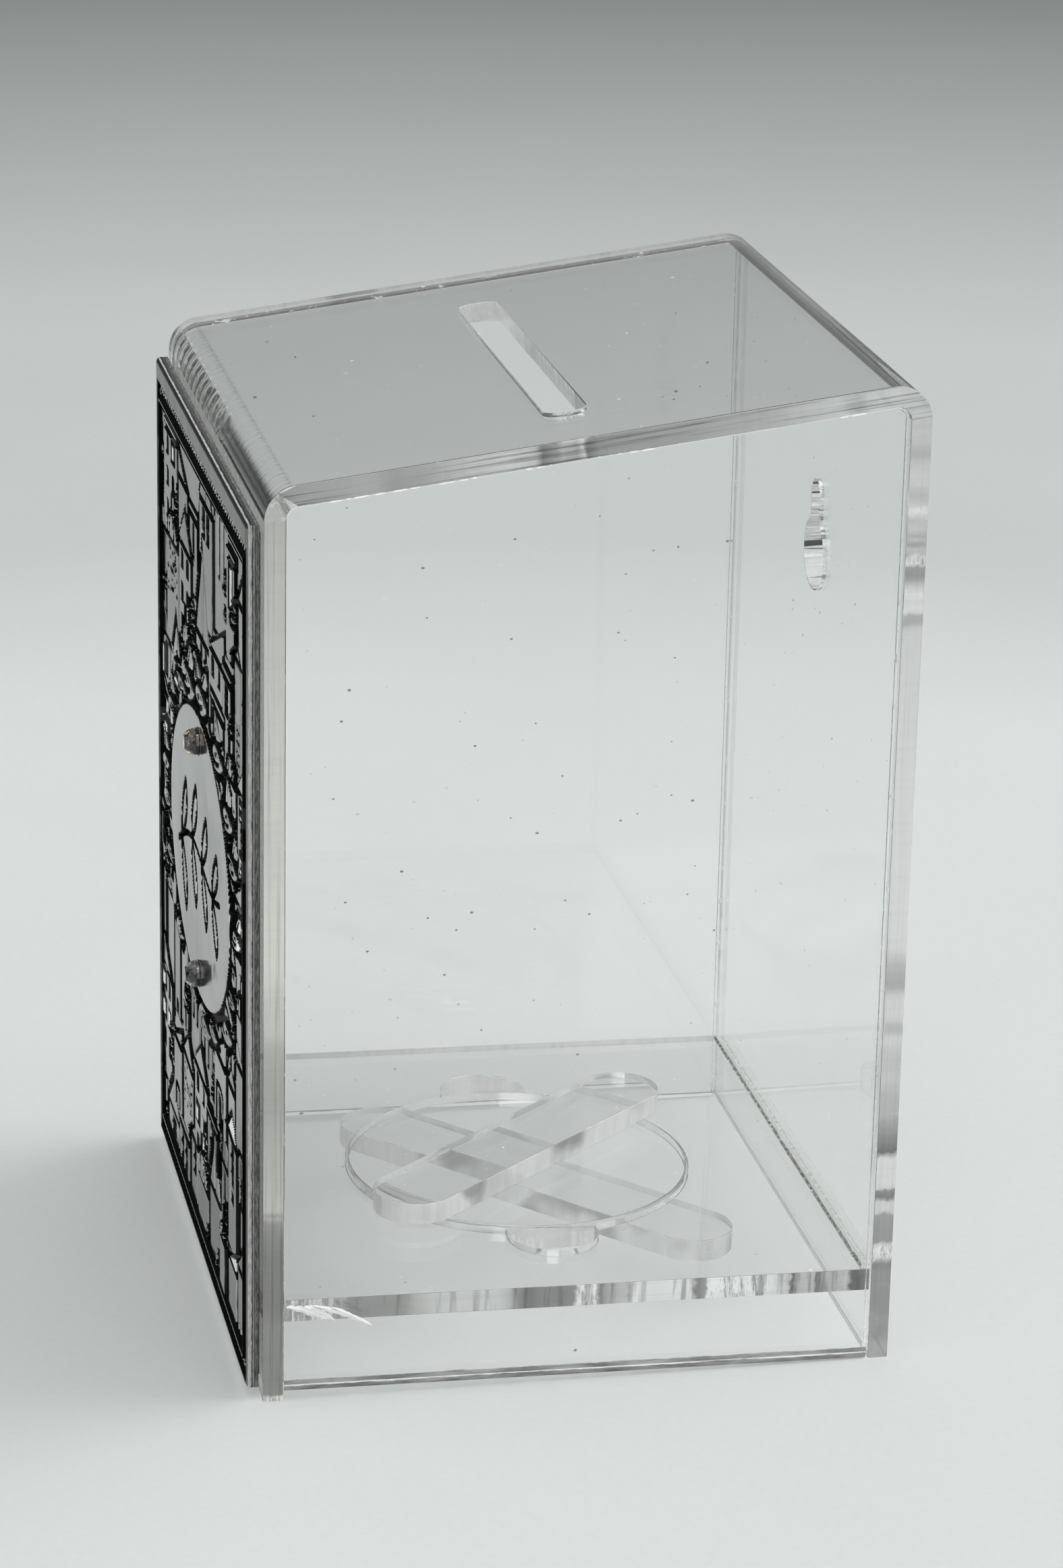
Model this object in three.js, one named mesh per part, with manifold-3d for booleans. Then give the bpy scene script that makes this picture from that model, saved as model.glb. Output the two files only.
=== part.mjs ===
// Clear acrylic donation box: a bent shell with two glued-in sides, a raised floor with a bayonet
// closure, and a cast relief plaque on the front. Millimetres, +Z up. The plaque faces -Y and the
// wall with the keyhole +Y.
import * as THREE from "three";
import { mergeVertices } from "three/addons/utils/BufferGeometryUtils.js";
import Module from "manifold-3d";

// The shell: one sheet bent into a U that stands upside down, with a top that slopes down to the front.
const WIDTH = 108;
const DEPTH = 100;
const FRONT_HEIGHT = 145.6; // where the planes of the front wall and the top meet
const BACK_HEIGHT = 159; // where the planes of the back wall and the top meet
const SHEET = 3.2;
const BEND_RADIUS = 5.3; // outside
const COIN_SLOT = { length: 72, width: 6.6, cornerRadius: 2.6, right: 2.4, forward: 2.1 };
const KEYHOLE = { radius: 5.9, centreHeight: 118, neckWidth: 5, topHeight: 130.2, right: 1.2 };

// The two sides, which stand in the U.
const SIDE_RECESS = 0.5; // how far a side sits inside the shell's cut edge
const FRONT_LIFT = 1.4; // of the floor, and of a side's lower edge, from back to front
const GLUE_GAP = 0.15; // between glued sheets
const GLUE_FILM = 0.05; // between glued flat faces

// The floor and its closure: a disc that fills the hole, with one bar above the floor and one below.
// They are drawn level about the hole's centre, with the floor's top at zero, and then lifted and
// tilted together.
const FLOOR_TOP = 15; // at the hole's centre
const FLOOR_SHEET = 3.6; // the floor, the disc and the bars are cut from thicker stock than the walls
const HOLE_RADIUS = 28.4;
const HOLE_BACK = 0.4; // from the floor's middle
const NOTCH_LENGTH = 73.6; // from the tip of one notch to the tip of the other
const NOTCH_WIDTH = 14.4;
const DISC_CLEARANCE = 0.4;
const CLOSURE_PLAY = 0.3; // between the floor and each bar
const BAR_WIDTH = 13.4;
const INNER_BAR = { length: 70, shift: -0.6 }; // along its own length, from the hole's centre
const HANDLE_BAR = { length: 77.6, shift: 3.2 };
const BAR_TURN = THREE.MathUtils.degToRad(-48); // from the notches to the inner bar, as the box stands

// The plaque: a tape, a backing sheet and the relief, one on the other, with two faceted studs.
const PLAQUE_WIDTH = 104.5;
const PLAQUE_BOTTOM = 1.8;
const PLAQUE_TOP = 140;
const TAPE = 0.3;
const TAPE_INSET = 1.5;
const BACKING = 0.6;
const RELIEF_BASE = 0.8;
const RELIEF_RISE = 0.7; // of the raised shapes above the base
const MARGIN_TOP = 3.4; // plain strip outside the border
const MARGIN_SIDE = 0.8;
const BORDER_WIDTH = 2.6;
const OVAL = { width: 70, height: 47, centreHeight: 70.5 };
const STUD_RADIUS = 2.35;
const STUD_HEIGHT = 2.2;
const STUD_HEIGHTS = { upper_stud: 90, lower_stud: 50.5 };

const ARC_STEPS = 24;
const ROUND_STEPS = 96;

const wasm = await Module();
wasm.setup();

const clear = { roughness: 0.05, metalness: 0, transparent: true, opacity: 0.35 };
const clearAcrylic = () => new THREE.MeshStandardMaterial({ color: 0xdfe6e2, ...clear });
const crystal = () => new THREE.MeshStandardMaterial({ color: 0xd8cdb4, ...clear });
const silver = () => new THREE.MeshStandardMaterial({ color: 0xb9bcbb, roughness: 0.2, metalness: 1 });
const greyBacking = () => new THREE.MeshStandardMaterial({ color: 0x8f9290, roughness: 0.5, metalness: 0.3 });
const whiteTape = () => new THREE.MeshStandardMaterial({ color: 0xd5d6d2, roughness: 0.8, metalness: 0 });

function solidOf(geometry) {
  const bare = geometry.clone();
  bare.deleteAttribute("normal");
  bare.deleteAttribute("uv");
  const merged = mergeVertices(bare);
  return new wasm.Manifold(
    new wasm.Mesh({
      numProp: 3,
      vertProperties: merged.attributes.position.array,
      triVerts: new Uint32Array(merged.index.array),
    }),
  );
}

function geometryOf(solid) {
  const mesh = solid.getMesh();
  const geometry = new THREE.BufferGeometry();
  geometry.setAttribute("position", new THREE.BufferAttribute(new Float32Array(mesh.vertProperties), 3));
  geometry.setIndex(new THREE.BufferAttribute(new Uint32Array(mesh.triVerts), 1));
  geometry.computeVertexNormals();
  return geometry;
}

function named(name, geometry, material) {
  const mesh = new THREE.Mesh(geometry, material);
  mesh.name = name;
  return mesh;
}

// A sheet cut to an outline, its lower face at z = 0.
function cutSheet(outline, thickness, steps = ROUND_STEPS) {
  return new THREE.ExtrudeGeometry(outline, { depth: thickness, bevelEnabled: false, curveSegments: steps });
}

// Turns an outline drawn in (y, z), and extruded along its own third axis, into the box's frame.
function alongX(geometry, start) {
  const basis = new THREE.Matrix4().makeBasis(
    new THREE.Vector3(0, 1, 0),
    new THREE.Vector3(0, 0, 1),
    new THREE.Vector3(1, 0, 0),
  );
  return geometry.applyMatrix4(basis).translate(start, 0, 0);
}

// Stands an outline drawn in (x, z) up, with its face towards -Y at y = front, so that it reaches back to +Y.
function standing(geometry, front, thickness) {
  const basis = new THREE.Matrix4().makeBasis(
    new THREE.Vector3(1, 0, 0),
    new THREE.Vector3(0, 0, 1),
    new THREE.Vector3(0, -1, 0),
  );
  return geometry.applyMatrix4(basis).translate(0, front + thickness, 0);
}

// The line of the bent sheet in (y, z), at a distance inside its outer face: up the front, over
// and down the back.
const slope = Math.atan2(BACK_HEIGHT - FRONT_HEIGHT, DEPTH);
function bentLine(path, inset, frontBottom, backBottom) {
  const radius = BEND_RADIUS - inset;
  const drop = BEND_RADIUS / Math.cos(slope);
  const shift = BEND_RADIUS * Math.tan(slope);
  const side = DEPTH / 2 - BEND_RADIUS;
  path.moveTo(-DEPTH / 2 + inset, frontBottom);
  path.lineTo(-DEPTH / 2 + inset, FRONT_HEIGHT + shift - drop);
  path.absarc(-side, FRONT_HEIGHT + shift - drop, radius, Math.PI, Math.PI / 2 + slope, true);
  path.absarc(side, BACK_HEIGHT - shift - drop, radius, Math.PI / 2 + slope, 0, true);
  path.lineTo(DEPTH / 2 - inset, backBottom);
  return path;
}

function roundedBox(length, width, radius) {
  const a = length / 2 - radius;
  const b = width / 2 - radius;
  const outline = new THREE.Shape();
  outline.absarc(a, -b, radius, -Math.PI / 2, 0, false);
  outline.absarc(a, b, radius, 0, Math.PI / 2, false);
  outline.absarc(-a, b, radius, Math.PI / 2, Math.PI, false);
  outline.absarc(-a, -b, radius, Math.PI, Math.PI * 1.5, false);
  outline.closePath();
  return outline;
}

function roundEnded(length, width) {
  const half = length / 2 - width / 2;
  const outline = new THREE.Shape();
  outline.absarc(half, 0, width / 2, -Math.PI / 2, Math.PI / 2, false);
  outline.absarc(-half, 0, width / 2, Math.PI / 2, Math.PI * 1.5, false);
  outline.closePath();
  return outline;
}

function circle(radius) {
  return new THREE.Shape().absarc(0, 0, radius, 0, Math.PI * 2, false);
}

function ellipse(width, height) {
  return new THREE.Shape().absellipse(0, 0, width / 2, height / 2, 0, Math.PI * 2, false);
}

function rectangle(x0, y0, x1, y1) {
  const corners = [
    [x0, y0],
    [x1, y0],
    [x1, y1],
    [x0, y1],
  ];
  return new THREE.Shape(corners.map(([x, y]) => new THREE.Vector2(x, y)));
}

function shell() {
  const outer = bentLine(new THREE.Path(), 0, 0, 0).getPoints(ARC_STEPS);
  const inner = bentLine(new THREE.Path(), SHEET, 0, 0).getPoints(ARC_STEPS);
  const section = new THREE.Shape([...outer, ...inner.reverse()].reverse());
  const bent = solidOf(alongX(cutSheet(section, WIDTH, 1), -WIDTH / 2));
  return geometryOf(bent.subtract(coinSlotCutter()).subtract(keyholeCutter()));
}

// Cuts square to the sloping top.
function coinSlotCutter() {
  const depth = 4 * SHEET;
  const outline = roundedBox(COIN_SLOT.length, COIN_SLOT.width, COIN_SLOT.cornerRadius);
  const cutter = cutSheet(outline, depth, ARC_STEPS);
  cutter.translate(COIN_SLOT.right, -COIN_SLOT.forward, -depth / 2);
  cutter.rotateX(slope);
  return solidOf(cutter.translate(0, 0, (FRONT_HEIGHT + BACK_HEIGHT) / 2));
}

function keyholeCutter() {
  const depth = 4 * SHEET;
  const front = DEPTH / 2 - depth / 2;
  const neckLength = KEYHOLE.topHeight - KEYHOLE.centreHeight + KEYHOLE.neckWidth / 2;
  const neck = cutSheet(roundEnded(neckLength, KEYHOLE.neckWidth), depth, ARC_STEPS);
  neck.rotateZ(Math.PI / 2).translate(0, neckLength / 2 - KEYHOLE.neckWidth / 2, 0);
  const round = cutSheet(circle(KEYHOLE.radius), depth, ROUND_STEPS / 2);
  const [neckSolid, roundSolid] = [neck, round].map((geometry) =>
    solidOf(standing(geometry, front, depth).translate(KEYHOLE.right, 0, KEYHOLE.centreHeight)),
  );
  return neckSolid.add(roundSolid);
}

// A side fills the U's outline. Its lower edge lies on the table at the back and lifts a little at the front.
function sidePanel(inner) {
  const inset = SHEET + GLUE_GAP;
  const outline = new THREE.Shape(
    bentLine(new THREE.Path(), inset, FRONT_LIFT, 0).getPoints(ARC_STEPS).reverse(),
  );
  return alongX(cutSheet(outline, SHEET, 1), inner);
}

function basePlate() {
  const halfX = WIDTH / 2 - SIDE_RECESS - SHEET - GLUE_GAP;
  const halfY = DEPTH / 2 - SHEET - GLUE_GAP;
  const sheet = cutSheet(rectangle(-halfX, -halfY - HOLE_BACK, halfX, halfY - HOLE_BACK), FLOOR_SHEET);
  const depth = 3 * FLOOR_SHEET;
  const hole = solidOf(cutSheet(circle(HOLE_RADIUS), depth).translate(0, 0, -FLOOR_SHEET));
  const notches = cutSheet(roundEnded(NOTCH_LENGTH, NOTCH_WIDTH), depth, ARC_STEPS);
  const opening = hole.add(solidOf(notches.translate(0, 0, -FLOOR_SHEET)));
  return geometryOf(solidOf(sheet).subtract(opening)).translate(0, 0, -FLOOR_SHEET);
}

// The disc and its two crossed bars, turned together as the box stands.
function closure() {
  const discTop = CLOSURE_PLAY - GLUE_FILM;
  const discThickness = FLOOR_SHEET + 2 * discTop;
  const disc = cutSheet(circle(HOLE_RADIUS - DISC_CLEARANCE), discThickness);
  disc.translate(0, 0, discTop - discThickness);
  const bar = ({ length, shift }) =>
    cutSheet(roundEnded(length, BAR_WIDTH), FLOOR_SHEET, ARC_STEPS).translate(shift, 0, 0);
  const innerBar = bar(INNER_BAR).translate(0, 0, CLOSURE_PLAY);
  const handleBar = bar(HANDLE_BAR).rotateZ(Math.PI / 2);
  const group = new THREE.Group();
  group.rotation.z = BAR_TURN;
  group.add(
    named("closure_disc", disc, clearAcrylic()),
    named("closure_inner_bar", innerBar, clearAcrylic()),
    named("closure_handle_bar", handleBar.translate(0, 0, -2 * FLOOR_SHEET - CLOSURE_PLAY), clearAcrylic()),
  );
  return group;
}

function floor() {
  const group = new THREE.Group();
  group.position.set(0, HOLE_BACK, FLOOR_TOP);
  group.rotation.x = -Math.atan2(FRONT_LIFT, DEPTH - 2 * SHEET);
  group.add(named("base_plate", basePlate(), clearAcrylic()), closure());
  return group;
}

// One flat layer of the plaque: the outline's face lies at y = front.
function plaqueLayer(inset, front, thickness) {
  const half = PLAQUE_WIDTH / 2 - inset;
  const outline = rectangle(-half, PLAQUE_BOTTOM + inset, half, PLAQUE_TOP - inset);
  return standing(cutSheet(outline, thickness), front, thickness);
}

// A house front with a gable, or a tower with a dome, in (x, z).
function houseOutline(x, bottom, width, wall, roof, domed) {
  const half = width / 2;
  const outline = new THREE.Shape();
  outline.moveTo(x - half, bottom);
  outline.lineTo(x + half, bottom);
  outline.lineTo(x + half, bottom + wall);
  if (domed) outline.absellipse(x, bottom + wall, half, roof, 0, Math.PI, false);
  else outline.lineTo(x, bottom + wall + roof);
  outline.lineTo(x - half, bottom + wall);
  outline.closePath();
  return outline;
}

// Rows of houses and domed towers, left out where the oval lies.
function townscape() {
  const outlines = [];
  const clearX = OVAL.width / 2 + 6;
  const clearZ = OVAL.height / 2 + 8;
  const rows = 5;
  const columns = 8;
  const rowHeight = (PLAQUE_TOP - PLAQUE_BOTTOM - MARGIN_TOP - 2 * BORDER_WIDTH - 4) / rows;
  const columnWidth = (PLAQUE_WIDTH - 2 * (MARGIN_SIDE + BORDER_WIDTH) - 4) / columns;
  for (let row = 0; row < rows; row++) {
    for (let column = 0; column < columns; column++) {
      const x = (column + 0.5 - columns / 2) * columnWidth;
      const bottom = PLAQUE_BOTTOM + BORDER_WIDTH + 2 + row * rowHeight;
      const middle = bottom + rowHeight / 2 - OVAL.centreHeight;
      if (Math.abs(x) < clearX && Math.abs(middle) < clearZ) continue;
      const domed = (row + column) % 3 === 0;
      const wall = rowHeight * (domed ? 0.55 : 0.62);
      outlines.push(houseOutline(x, bottom, columnWidth * 0.8, wall, rowHeight * 0.2, domed));
    }
  }
  return outlines;
}

// The base sheet with its border, oval and townscape raised from it.
function relief(front) {
  const edge = PLAQUE_WIDTH / 2 - MARGIN_SIDE;
  const low = PLAQUE_BOTTOM + MARGIN_SIDE;
  const high = PLAQUE_TOP - MARGIN_TOP;
  const border = rectangle(-edge, low, edge, high);
  border.holes.push(
    rectangle(-edge + BORDER_WIDTH, low + BORDER_WIDTH, edge - BORDER_WIDTH, high - BORDER_WIDTH),
  );
  const oval = cutSheet(ellipse(OVAL.width, OVAL.height), RELIEF_RISE * 2).translate(0, OVAL.centreHeight, 0);
  const raised = [cutSheet(border, RELIEF_RISE * 2), oval];
  for (const outline of townscape()) raised.push(cutSheet(outline, RELIEF_RISE * 1.5, 4));
  const base = solidOf(plaqueLayer(0, front, RELIEF_BASE));
  const joined = raised.reduce(
    (all, geometry) => all.add(solidOf(standing(geometry, front - RELIEF_RISE, 2 * RELIEF_RISE))),
    base,
  );
  return geometryOf(joined);
}

// A faceted stud, flat at the back, its point towards -Y.
function stud(back, height) {
  const profile = [
    [0, 0],
    [STUD_RADIUS, 0],
    [STUD_RADIUS, 0.25 * STUD_HEIGHT],
    [0.6 * STUD_RADIUS, 0.8 * STUD_HEIGHT],
    [0, STUD_HEIGHT],
  ].map(([x, y]) => new THREE.Vector2(x, y));
  return new THREE.LatheGeometry(profile, 8).rotateX(Math.PI).translate(0, back, height);
}

function plaque() {
  const group = new THREE.Group();
  const tapeFront = -DEPTH / 2 - GLUE_FILM - TAPE;
  const backingFront = tapeFront - GLUE_FILM - BACKING;
  const reliefFront = backingFront - GLUE_FILM - RELIEF_BASE;
  group.add(
    named("plaque_tape", plaqueLayer(TAPE_INSET, tapeFront, TAPE), whiteTape()),
    named("plaque_backing", plaqueLayer(0, backingFront, BACKING), greyBacking()),
    named("plaque_relief", relief(reliefFront), silver()),
  );
  const studBack = reliefFront - RELIEF_RISE - GLUE_FILM;
  for (const [name, height] of Object.entries(STUD_HEIGHTS)) {
    group.add(named(name, stud(studBack, height), crystal()));
  }
  return group;
}

const sideInner = WIDTH / 2 - SIDE_RECESS - SHEET;
const plaqueStack = 4 * GLUE_FILM + TAPE + BACKING + RELIEF_BASE + RELIEF_RISE + STUD_HEIGHT;

const donationBox = new THREE.Group();
donationBox.add(
  named("shell", shell(), clearAcrylic()),
  named("side_panel_right", sidePanel(sideInner), clearAcrylic()),
  named("side_panel_left", sidePanel(-sideInner - SHEET), clearAcrylic()),
  floor(),
  plaque(),
);
donationBox.position.y = plaqueStack / 2; // centres the whole box, plaque included, on the origin

export default donationBox;
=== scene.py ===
"""The looks of a clear acrylic donation box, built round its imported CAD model.

The acrylic stays as the CAD made it and gets its edges, finish, glue and dust here. The plaque's relief and
its two crystals are made anew, because the CAD holds only their plain shapes. Everything is in metres, +Z up;
the relief is drawn in millimetres on a height map and turned to metres when it becomes a mesh.
"""

import math
import random

import bmesh
import bpy
import numpy as np
from mathutils import Matrix, Vector


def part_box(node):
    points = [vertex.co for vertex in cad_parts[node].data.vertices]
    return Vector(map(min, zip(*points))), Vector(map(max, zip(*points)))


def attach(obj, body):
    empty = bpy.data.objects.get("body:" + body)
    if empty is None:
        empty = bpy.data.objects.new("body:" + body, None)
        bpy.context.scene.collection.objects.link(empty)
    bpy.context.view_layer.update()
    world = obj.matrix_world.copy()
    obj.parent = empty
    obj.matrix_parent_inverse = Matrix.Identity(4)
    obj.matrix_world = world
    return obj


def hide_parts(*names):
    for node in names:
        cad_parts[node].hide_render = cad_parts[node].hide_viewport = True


MM = 0.001
SEED = 7

# Camera, measured from the middle of the shell's footprint.
CAMERA_PLACE = Vector((0.6988, -0.1459, 0.3228))
CAMERA_LOOK = Vector((-0.92639, 0.19581, -0.32164))
CAMERA_UP = Vector((-0.31897, 0.04592, 0.94665))
CAMERA_LENS = 107.0
SENSOR = 36.0

# Acrylic
ACRYLIC_IOR = 1.49
ACRYLIC_BEVEL = 0.16 * MM
CLEAN = (0.985, 0.99, 0.988, 1)  # the faint tint of clean acrylic
EDGE_SHADOW = (0.9, 0.91, 0.905, 1)
UPRIGHT = math.radians(90)
WALL = 9 * MM  # how far a wall and its bend reach into the box
KEYHOLE_FROM = 20 * MM  # the keyhole is the only hole in the back wall above this
FROSTED = 0.15  # a band less clear than this is frosted and gets painted glints
DUST_CELLS = 300.0
DUST_SHARE = 0.25
# how tall the band of painted shade along a side panel's lower edge is
PAINTED_SHADE_BAND = 0.75 * MM
FLAKE = 0.3 * MM  # how far a crumb of cement stands out

# The floor's colour by its distance from the middle, as a share of FLOOR_REACH: darker further out, painted
# shade that stands in for the light falling off.
FLOOR_REACH = 1.6
FLOOR_TONES = [
    (0.0, (0.72, 0.745, 0.735)), (0.19, (0.72, 0.75, 0.74)), (0.27, (0.6, 0.63, 0.62)),
    (0.42, (0.6, 0.63, 0.62)), (0.62, (0.42, 0.445, 0.44)), (0.85, (0.24, 0.26, 0.255)),
    (1.0, (0.18, 0.195, 0.19)),
]
SKY_TONES = [(0.0, 0.14), (0.25, 0.16), (0.55, 0.62), (1.0, 0.92)]
BOUNCES = 24

# Bands along the sawn edges of the sheets: place along the edge in mm, brightness, clearness. The brightness
# is partly the edge's own frosting and partly painted highlight and painted shade.
FRONT_BANDS = [
    (0, 1.0, 0.0), (0.7, 1.0, 0.0), (1.1, 0.36, 0.3), (12, 0.4, 0.3), (16, 0.32, 0.3), (24, 0.34, 0.3),
    (28, 0.42, 0.35), (30.2, 0.5, 0.4), (30.5, 1.0, 0.1), (31, 0.3, 0.3), (32, 1.0, 0.5), (50, 1.0, 0.7),
    (64, 0.84, 0.6), (72, 1.0, 0.6), (95, 0.95, 0.6), (132, 0.84, 0.6), (146, 0.66, 0.6),
]
BACK_BANDS = [
    (0, 0.5, 0.5), (8, 0.42, 0.4), (16.5, 0.4, 0.4), (17.5, 1.0, 0.0), (19.5, 1.0, 0.0), (20, 0.55, 0.5),
    (24.5, 0.6, 0.5), (25, 1.0, 0.3), (27, 1.0, 0.3), (27.4, 0.28, 0.3), (29, 0.4, 0.3), (29.5, 1.0, 0.2),
    (34.6, 1.0, 0.2), (35.2, 0.2, 0.2), (37, 0.34, 0.3), (41.5, 0.7, 0.4), (42, 1.0, 0.7), (80, 0.98, 0.7),
    (120.6, 0.9, 0.6), (121.6, 0.55, 0.3), (122.8, 0.65, 0.3), (123.4, 1.0, 0.16), (126, 1.0, 0.16),
    (127, 0.85, 0.4), (129, 0.42, 0.3), (130.4, 0.5, 0.3), (130.7, 1.0, 0.0), (131.8, 1.0, 0.0),
    (132.4, 0.75, 0.4), (137.6, 0.75, 0.5), (138.2, 1.0, 0.0), (139.6, 0.9, 0.6),
]
TOP_BANDS = [
    (-50, 0.85, 0.5), (-47, 0.36, 0.4), (-40, 0.42, 0.45), (-22, 0.55, 0.5), (-12, 0.9, 0.6),
    (-8, 0.84, 0.6), (-7, 0.24, 0.3), (-5.2, 0.4, 0.4), (-4, 0.85, 0.4), (-2, 0.7, 0.4), (-0.8, 1.0, 0.2),
    (-0.2, 0.36, 0.4), (14, 0.4, 0.45), (28, 0.55, 0.5), (38, 0.92, 0.6), (41.4, 0.66, 0.4), (43, 0.95, 0.6),
    (50, 0.95, 0.6),
]
PLATE_BANDS = [
    (-50, 1.0, 0.0), (-38, 1.0, 0.0), (-36.2, 1.0, 0.1), (-35.6, 0.6, 0.5), (-34, 0.28, 0.3),
    (-25, 0.45, 0.4), (-23, 0.95, 0.6), (-11, 0.85, 0.6), (-6, 0.22, 0.3), (1.8, 0.26, 0.3), (2.3, 1.0, 0.0),
    (5.2, 1.0, 0.0), (5.6, 0.34, 0.3), (10, 0.7, 0.5), (11, 1.0, 0.2), (20.6, 1.0, 0.2), (21.2, 0.2, 0.2),
    (22.6, 0.4, 0.3), (23, 1.0, 0.0), (32.4, 1.0, 0.0), (36.2, 0.9, 0.5), (36.6, 0.12, 0.2), (38, 0.7, 0.5),
    (40.4, 0.85, 0.6), (40.8, 0.12, 0.2), (42.6, 0.6, 0.5), (46, 0.8, 0.6), (46.4, 0.08, 0.2),
    (49.4, 0.25, 0.2),
]
FAR_BANDS = [
    (-50, 1.0, 0.2), (-22, 1.0, 0.2), (-20, 0.6, 0.3), (-14, 0.7, 0.3), (-12, 1.0, 0.2), (50, 1.0, 0.2),
]
EVEN_BANDS = [(-50, 1.0, 0.2), (50, 1.0, 0.2)]

# The relief is drawn on a map whose squares are WIDE times wider than tall on the real plaque, because its
# shapes are low and broad. Heights above the plaque's back and sizes up the plaque are in millimetres.
WIDE = 3.0
CELL_ACROSS = 0.38
CELL_UP = 0.24
RECESS = 0.3
FIELD = 1.0
BORDER_TOP = 1.35
OVAL_TOP = 1.45
GROOVE = 0.42  # width of the dark line round each shape
SOFT = 0.12  # half the width of a wall between two heights

RIM_TOP = 3.4
RIM_SIDE = 0.8
RIM_WEAR = 0.35  # how far the rim has worn down at its very edge
RIM_TONE = 0.55
BORDER = 2.4
BORDER_SIDE = 0.8  # how wide the rope is at the sides, on the map
LEDGE = 0.75  # the light line inside the rope, and the dark one inside that
ROPE_PITCH = 1.3
ROPE_PITCH_ACROSS = 0.62
OVAL_CENTRE = (0.0, 70.5)
OVAL_HALF = (35.0 / WIDE, 23.5)
SCROLLS = 17
TONES = (-0.15, -0.05, 0.0, 0.05, 0.15, 0.25, 0.35)  # how much darker a shape's face is than plain silver
PAINTED_HIGHLIGHT = -1.0  # a face painted white, a painted highlight
FACADES = ("panes", "panes", "shutters", "slits", "small", "hatch", "stone", "door", "door", "plain")
ROOFS = ("gable", "gable", "dome", "spire", "flat", "lean")
PEAKS = {"gable": (0.8, 1.5), "spire": (2.0, 3.2), "lean": (0.9, 1.6)}  # how high a roof is for its width
EAVES = 0.3
PLANK = 0.8
COURSE = 1.7
STUD_SIDES = 8
STUD_RINGS = [(1.0, 0.0, 0.0), (1.0, 0.22, 0.0), (0.8, 0.68, 0.5), (0.5, 1.0, 0.0)]  # reach, height, turn

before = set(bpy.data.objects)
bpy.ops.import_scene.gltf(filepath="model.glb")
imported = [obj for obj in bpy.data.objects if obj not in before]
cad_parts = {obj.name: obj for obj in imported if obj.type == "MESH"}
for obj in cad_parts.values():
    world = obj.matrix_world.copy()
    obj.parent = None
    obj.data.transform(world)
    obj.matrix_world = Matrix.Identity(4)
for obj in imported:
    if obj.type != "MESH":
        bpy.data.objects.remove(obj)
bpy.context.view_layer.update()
shell_low, shell_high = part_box("shell")
shell_centre = Vector(((shell_low.x + shell_high.x) / 2, (shell_low.y + shell_high.y) / 2, 0))
shell_front_top = max(v.co.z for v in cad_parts["shell"].data.vertices if v.co.y < shell_low.y + 6 * MM)


# ---------------------------------------------------------------- materials


class Nodes:
    """A node tree, with short ways to add and join nodes."""

    def __init__(self, tree):
        self.tree = tree

    def join(self, value, socket):
        """Gives a socket a plain value, or links it to what another node gives."""
        if isinstance(value, bpy.types.NodeSocket):
            self.tree.links.new(value, socket)
        else:
            socket.default_value = value

    def node(self, kind, inputs, **settings):
        made = self.tree.nodes.new("ShaderNode" + kind)
        for name, value in settings.items():
            setattr(made, name, value)
        for name, value in inputs.items():
            self.join(value, made.inputs[name])
        return made

    def math(self, operation, first, second=0.0):
        return self.node("Math", {0: first, 1: second}, operation=operation).outputs[0]

    def range(self, value, low, high, to_low, to_high):
        inputs = {"Value": value, "From Min": low, "From Max": high, "To Min": to_low, "To Max": to_high}
        return self.node("MapRange", inputs).outputs["Result"]

    def ramp(self, factor, *stops):
        """Colours along a factor: each stop is a position and a colour, or a plain number for a grey."""
        made = self.node("ValToRGB", {"Fac": factor})
        elements = made.color_ramp.elements
        while len(elements) < len(stops):
            elements.new(0.5)
        for element, (position, color) in zip(elements, stops):
            element.position = position
            element.color = (*color, 1)[:4] if isinstance(color, tuple) else grey(color)
        return made.outputs["Color"]


class Look(Nodes):
    """A material under construction round its Principled shader."""

    def __init__(self, name):
        self.material = bpy.data.materials.new(name)
        self.material.use_nodes = True
        super().__init__(self.material.node_tree)
        self.shader = self.tree.nodes["Principled BSDF"]

    def set(self, **values):
        for name, value in values.items():
            self.join(value, self.shader.inputs[name.replace("_", " ")])
        return self

    def place(self, stretch=(1, 1, 1), slope=0.0):
        """Where a point is on its own piece, turned until slope is level, and then stretched."""
        vector = self.node("TexCoord", {}).outputs["Object"]
        if slope:
            vector = self.node("Mapping", {"Vector": vector, "Rotation": (-slope, 0, 0)}).outputs["Vector"]
        return self.node("Mapping", {"Vector": vector, "Scale": stretch}).outputs["Vector"]

    def axes(self, slope=0.0):
        return self.node("SeparateXYZ", {"Vector": self.place(slope=slope)}).outputs

    def noise(self, scale, detail=3.0, roughness=0.5, stretch=(1, 1, 1), slope=0.0):
        inputs = {"Scale": scale, "Detail": detail, "Roughness": roughness}
        return self.node("TexNoise", {"Vector": self.place(stretch, slope), **inputs}).outputs["Fac"]

    def roughen(self, value, noise, low, high, reach):
        """Moves a value to and fro by up to reach."""
        return self.math("ADD", value, self.range(noise, low, high, -reach, reach))

    def fade(self, share, at_none, at_full):
        return self.range(share, 0.0, 1.0, at_none, at_full)

    def times(self, first, *others):
        for other in others:
            made = self.node("VectorMath", {0: first, 1: other}, operation="MULTIPLY")
            first = made.outputs["Vector"]
        return first

    def blend(self, share, first, second):
        return self.node("MixRGB", {"Fac": share, "Color1": first, "Color2": second}).outputs["Color"]

    def bump(self, height, distance, strength):
        inputs = {"Height": height, "Distance": distance, "Strength": strength}
        return self.set(Normal=self.node("Bump", inputs).outputs["Normal"])


def grey(value, alpha=1.0):
    return (value, value, value, alpha)


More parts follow.
